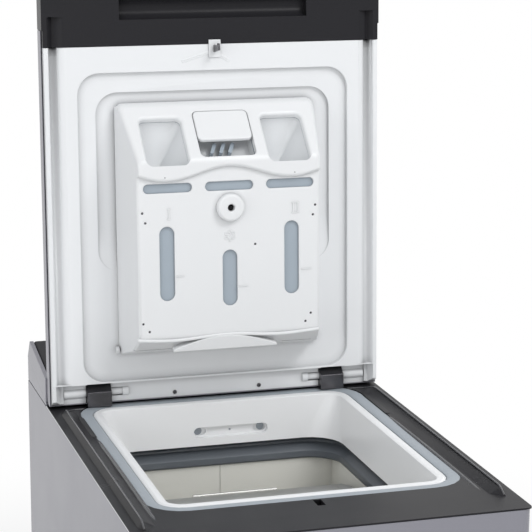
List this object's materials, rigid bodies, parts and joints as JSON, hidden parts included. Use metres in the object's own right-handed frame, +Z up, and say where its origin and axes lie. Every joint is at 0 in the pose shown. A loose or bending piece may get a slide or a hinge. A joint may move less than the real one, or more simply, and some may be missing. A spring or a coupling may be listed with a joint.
{
  "type": "top-loading washing machine",
  "caption": "Narrow top-loading washing machine with an open lid, a tilting detergent dispenser, a rubber-sealed well, a sprung tub with a belt-driven drum and a rear console.",
  "frame": {"origin": "on the floor, under the middle of the cabinet", "axes": "+Z up; -Y is the front, away from the console; +X is the right-hand side seen from the front"},
  "size_m": [0.4, 0.6, 1.3274],
  "materials": {
    "silver_paint": "satin silver grey lacquer on sheet steel",
    "white_plastic": "white moulded plastic, soft gloss",
    "dark_plastic": "dark grey moulded plastic, soft gloss",
    "tray_plastic": "translucent blue grey moulding",
    "gasket_rubber": "blue grey moulded rubber",
    "grey_rubber": "dark grey moulded rubber",
    "dark_steel": "dark coated steel",
    "bright_steel": "plain stainless or bright steel",
    "zinc_steel": "galvanised steel",
    "tub_plastic": "cream moulded plastic",
    "black_plastic": "black moulded plastic",
    "black_rubber": "black rubber",
    "cast_iron": "rough casting",
    "board_green": "circuit board"
  },
  "bodies": {
    "cabinet": {"side_panel_left": "silver_paint", "side_panel_right": "silver_paint", "front_panel": "silver_paint", "rear_panel": "zinc_steel", "base_frame": "black_plastic", "top_frame": "dark_plastic", "lid_gasket": "gasket_rubber", "well_funnel": "white_plastic", "bellows": "grey_rubber", "console_base": "silver_paint", "console_panel": "dark_plastic", "console_end_left": "silver_paint", "console_end_right": "silver_paint", "control_board": "board_green", "inlet_valve": "white_plastic", "door_lock": "black_plastic", "hinge_bracket_left": "dark_steel", "hinge_bracket_right": "dark_steel", "drain_pump": "black_plastic", "sump_hose": "black_rubber", "spring_front_left": "bright_steel", "spring_front_right": "bright_steel", "spring_rear_left": "bright_steel", "spring_rear_right": "bright_steel", "damper_cylinder_front": "black_plastic", "damper_cylinder_rear": "black_plastic"},
    "lid": {"lid_skin": "silver_paint", "lid_inner": "white_plastic", "lid_handle": "dark_plastic", "lid_hook": "dark_steel", "hinge_pin_left": "white_plastic", "hinge_pin_right": "white_plastic"},
    "dispenser": {"dispenser_front": "white_plastic", "dispenser_tray": "tray_plastic", "dispenser_boss": "white_plastic"},
    "dispenser_release": {"release_pad": "white_plastic"},
    "knob": {"program_knob": "dark_plastic"},
    "start_key": {"start_button": "silver_paint"},
    "option_key": {"option_button": "silver_paint"},
    "flap": {"filter_flap": "silver_paint"},
    "filter": {"pump_filter": "white_plastic"},
    "foot_left": {"front_foot_left": "black_plastic"},
    "foot_right": {"front_foot_right": "black_plastic"},
    "tub": {"tub_half_left": "tub_plastic", "tub_half_right": "tub_plastic", "counterweight": "cast_iron", "heater": "bright_steel", "motor_body": "dark_steel", "drive_belt": "black_rubber", "damper_rod_front": "bright_steel", "damper_rod_rear": "bright_steel"},
    "drum": {"drum_shell": "bright_steel", "drum_end_left": "bright_steel", "drum_end_right": "bright_steel", "drum_pulley": "zinc_steel"},
    "drum_leaf_front": {"drum_door_front": "bright_steel"},
    "drum_leaf_rear": {"drum_door_rear": "bright_steel"},
    "leaf_latch": {"drum_latch": "dark_plastic"},
    "motor_rotor": {"motor_pulley": "bright_steel", "rotor_shaft": "bright_steel"}
  },
  "joints": [
    {"name": "lid_hinge", "type": "hinge", "parent": "cabinet", "child": "lid", "pos_m": [0, 0.167, 0.8645], "axis": [1, 0, 0], "range_deg": [0, 92.4]},
    {"name": "dispenser_tilt", "type": "hinge", "parent": "lid", "child": "dispenser", "pos_m": [0, 0.15323, 0.91615], "axis": [-1, 0, 0], "range_deg": [-30, 0]},
    {"name": "dispenser_release_press", "type": "slide", "parent": "dispenser", "child": "dispenser_release", "axis": [0, 0.6907, -0.7232], "range_m": [0, 0.0035], "stiffness_N_per_m": 300, "springref_m": -0.003},
    {"name": "program_knob_turn", "type": "hinge", "parent": "cabinet", "child": "knob", "pos_m": [0.12, 0.23765, 0.89154], "axis": [0, -0.1796, 0.9837], "range_deg": [0, 330]},
    {"name": "start_button_press", "type": "slide", "parent": "cabinet", "child": "start_key", "axis": [0, 0.1796, -0.9837], "range_m": [0, 0.0015], "stiffness_N_per_m": 500, "springref_m": -0.002},
    {"name": "option_button_press", "type": "slide", "parent": "cabinet", "child": "option_key", "axis": [0, 0.1796, -0.9837], "range_m": [0, 0.0015], "stiffness_N_per_m": 500, "springref_m": -0.002},
    {"name": "filter_flap_hinge", "type": "hinge", "parent": "cabinet", "child": "flap", "pos_m": [0.1, -0.3, 0.0456], "axis": [1, 0, 0], "range_deg": [0, 90]},
    {"name": "pump_filter_turn", "type": "hinge", "parent": "cabinet", "child": "filter", "pos_m": [0.1, -0.282, 0.108], "axis": [0, -1, 0], "range_deg": [0, 270]},
    {"name": "foot_left_adjust", "type": "slide", "parent": "cabinet", "child": "foot_left", "axis": [0, 0, -1], "range_m": [0, 0.01]},
    {"name": "foot_right_adjust", "type": "slide", "parent": "cabinet", "child": "foot_right", "axis": [0, 0, -1], "range_m": [0, 0.01]},
    {"name": "tub_float", "type": "slide", "parent": "cabinet", "child": "tub", "axis": [0, 0, 1], "range_m": [-0.008, 0.008], "stiffness_N_per_m": 20000, "springref_m": 0.01996, "deforming": ["bellows", "spring_front_left", "spring_front_right", "spring_rear_left", "spring_rear_right", "sump_hose"]},
    {"name": "drum_spin", "type": "hinge", "parent": "tub", "child": "drum", "pos_m": [0, -0.01, 0.551], "axis": [1, 0, 0], "continuous": true},
    {"name": "motor_spin", "type": "hinge", "parent": "tub", "child": "motor_rotor", "pos_m": [0, 0.14, 0.251], "axis": [1, 0, 0], "continuous": true},
    {"name": "drum_leaf_front_hinge", "type": "hinge", "parent": "drum", "child": "drum_leaf_front", "pos_m": [0, -0.10132, 0.75696], "axis": [-1, 0, 0], "range_deg": [-90, 0]},
    {"name": "drum_leaf_rear_hinge", "type": "hinge", "parent": "drum", "child": "drum_leaf_rear", "pos_m": [0, 0.08132, 0.75696], "axis": [1, 0, 0], "range_deg": [-90, 0]},
    {"name": "leaf_latch_press", "type": "slide", "parent": "drum_leaf_front", "child": "leaf_latch", "axis": [0, 0.0802, -0.9968], "range_m": [0, 0.003], "stiffness_N_per_m": 400, "springref_m": -0.003}
  ],
  "couplings": [
    {"joint": "drum_spin", "follows": "motor_spin", "ratio": 0.085714}
  ]
}
